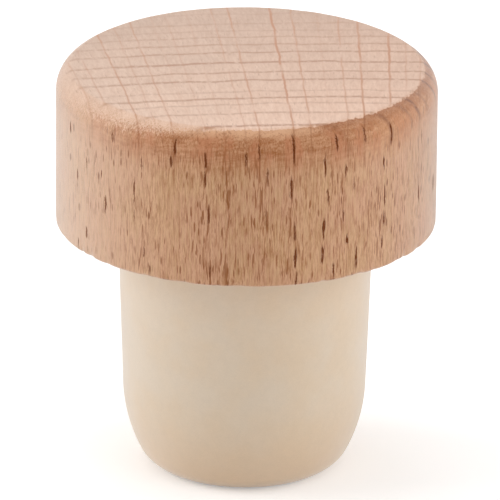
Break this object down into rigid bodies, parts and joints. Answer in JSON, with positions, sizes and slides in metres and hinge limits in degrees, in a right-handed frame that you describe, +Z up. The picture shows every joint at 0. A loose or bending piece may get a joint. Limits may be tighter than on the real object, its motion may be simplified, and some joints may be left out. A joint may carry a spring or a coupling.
{
  "type": "bottle stopper",
  "caption": "Bar-top bottle stopper: a turned wooden cap glued on a tapered moulded plug with a rounded end, which seals a bottle's neck.",
  "frame": {"origin": "centre of the plug's flat foot, on which the stopper stands", "axes": "+Z up along the axis that the cap and the plug share, from the foot towards the cap's flat top"},
  "size_m": [0.03, 0.03, 0.0329],
  "materials": {
    "turned_wood": "bare, fine sanded, end grain on the flat top",
    "plug_foam": "smooth matte skin of a foamed polymer, cream"
  },
  "bodies": {
    "root": {"wooden_cap": "turned_wood", "stopper_plug": "plug_foam"}
  },
  "joints": []
}
